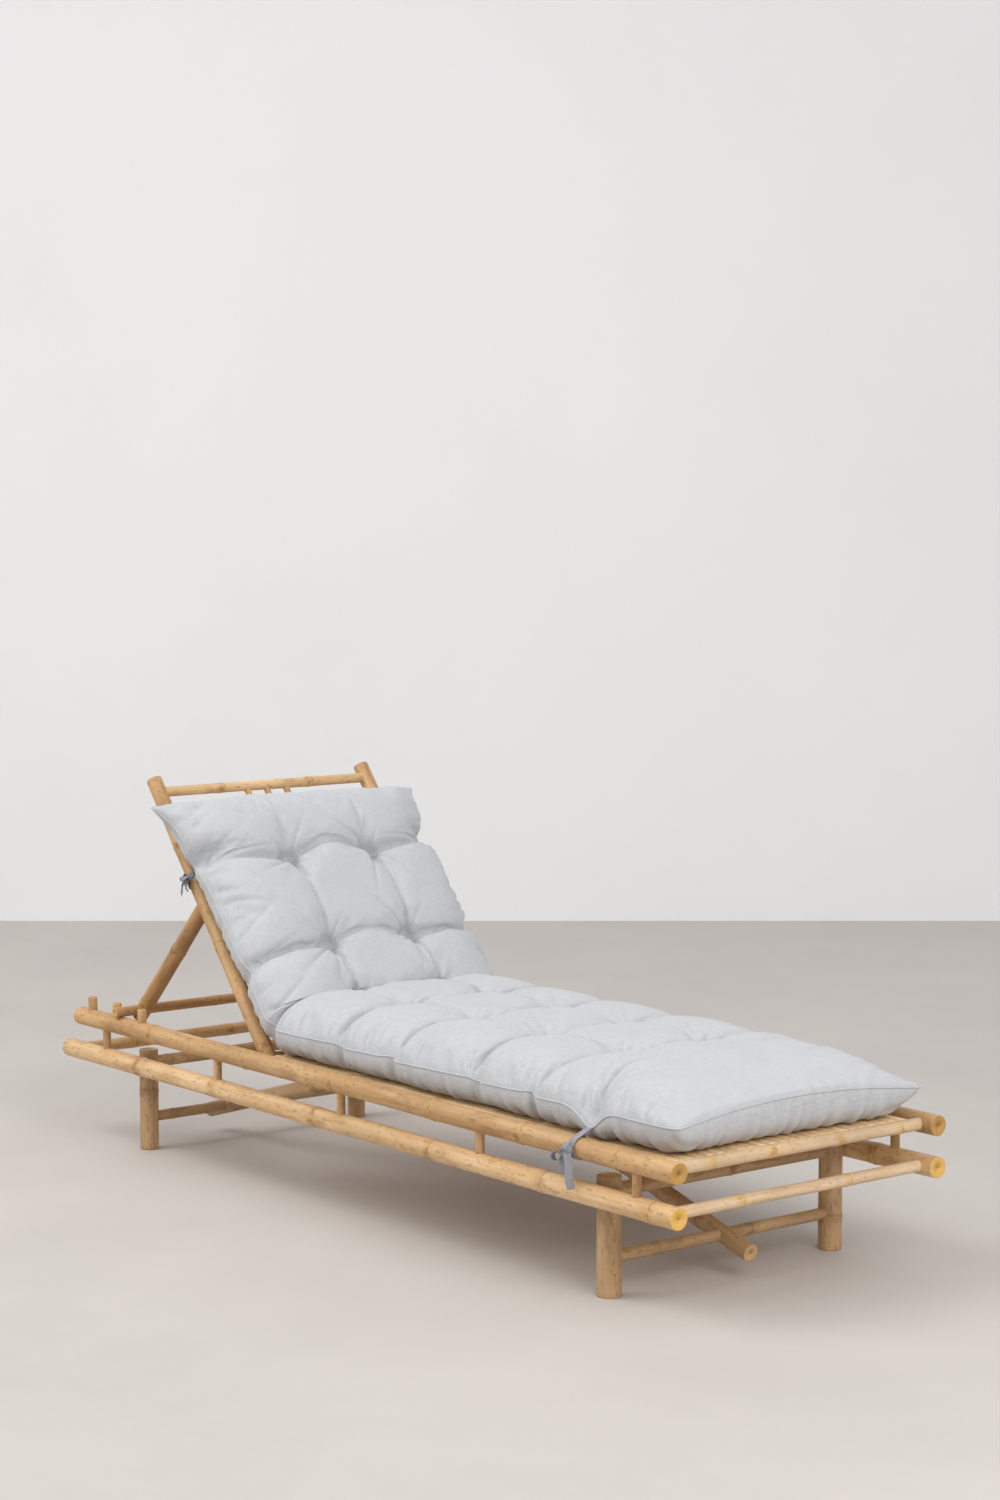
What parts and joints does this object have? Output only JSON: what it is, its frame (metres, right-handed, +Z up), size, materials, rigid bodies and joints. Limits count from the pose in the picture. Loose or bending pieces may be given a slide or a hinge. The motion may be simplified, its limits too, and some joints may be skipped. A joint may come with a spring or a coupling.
{
  "type": "sun lounger",
  "caption": "Bamboo sun lounger with a slatted bed, a tufted cushion tied on, and a hinged backrest held by a swinging prop that stands against pegs on the side rails.",
  "frame": {"origin": "on the floor, at the middle of the lower rails' length and width", "axes": "+X from the head to the foot along the rails, +Y across to the far side, +Z up"},
  "size_m": [2.05, 0.7126, 0.8218],
  "materials": {
    "bamboo": "satin",
    "pale_bamboo": "satin",
    "brown_bamboo": "satin",
    "split_bamboo": "matte",
    "cushion_fabric": "matte",
    "tie_tape": "matte"
  },
  "bodies": {
    "base": {"bed_crossbar_1": "bamboo", "bed_crossbar_2": "bamboo", "bed_crossbar_3": "bamboo", "bed_crossbar_4": "bamboo", "bed_slats": "split_bamboo", "cushion_fold": "cushion_fabric", "foot_brace": "brown_bamboo", "foot_brace_pin": "brown_bamboo", "foot_leg_far": "brown_bamboo", "foot_leg_near": "brown_bamboo", "foot_low_stretcher": "brown_bamboo", "foot_lower_crossbar": "pale_bamboo", "foot_tie_far": "tie_tape", "foot_tie_near": "tie_tape", "foot_top_stretcher": "brown_bamboo", "foot_upper_crossbar": "pale_bamboo", "head_brace": "brown_bamboo", "head_brace_pin": "brown_bamboo", "head_leg_far": "brown_bamboo", "head_leg_near": "brown_bamboo", "head_low_stretcher": "brown_bamboo", "head_lower_crossbar": "bamboo", "head_top_stretcher": "brown_bamboo", "hinge_bar": "bamboo", "lower_rail_far": "bamboo", "lower_rail_near": "bamboo", "notch_pegs_far": "bamboo", "notch_pegs_near": "bamboo", "rail_spacers_far": "bamboo", "rail_spacers_near": "bamboo", "seat_cushion": "cushion_fabric", "upper_rail_far": "bamboo", "upper_rail_near": "bamboo"},
    "backrest": {"back_cushion": "cushion_fabric", "back_low_bar": "bamboo", "back_middle_bar": "bamboo", "back_second_bar": "bamboo", "back_slats": "split_bamboo", "back_spindle_1": "bamboo", "back_spindle_2": "bamboo", "back_spindle_3": "bamboo", "back_tie_far": "tie_tape", "back_tie_near": "tie_tape", "back_top_bar": "bamboo", "prop_pin_far": "bamboo", "prop_pin_near": "bamboo", "stile_far": "bamboo", "stile_near": "bamboo"},
    "prop": {"prop_bar": "bamboo", "prop_pole_far": "bamboo", "prop_pole_near": "bamboo"}
  },
  "joints": [
    {"name": "back_recline", "type": "hinge", "parent": "base", "child": "backrest", "pos_m": [-0.296, 0, 0.2695], "axis": [0, 1, 0], "range_deg": [0, 38], "deforming": ["cushion_fold"]},
    {"name": "prop_swing", "type": "hinge", "parent": "backrest", "child": "prop", "pos_m": [-0.55291, 0, 0.58903], "axis": [0, 1, 0], "range_deg": [-38, 0]}
  ],
  "couplings": [
    {"joint": "prop_swing", "follows": "back_recline", "ratio": -1}
  ]
}
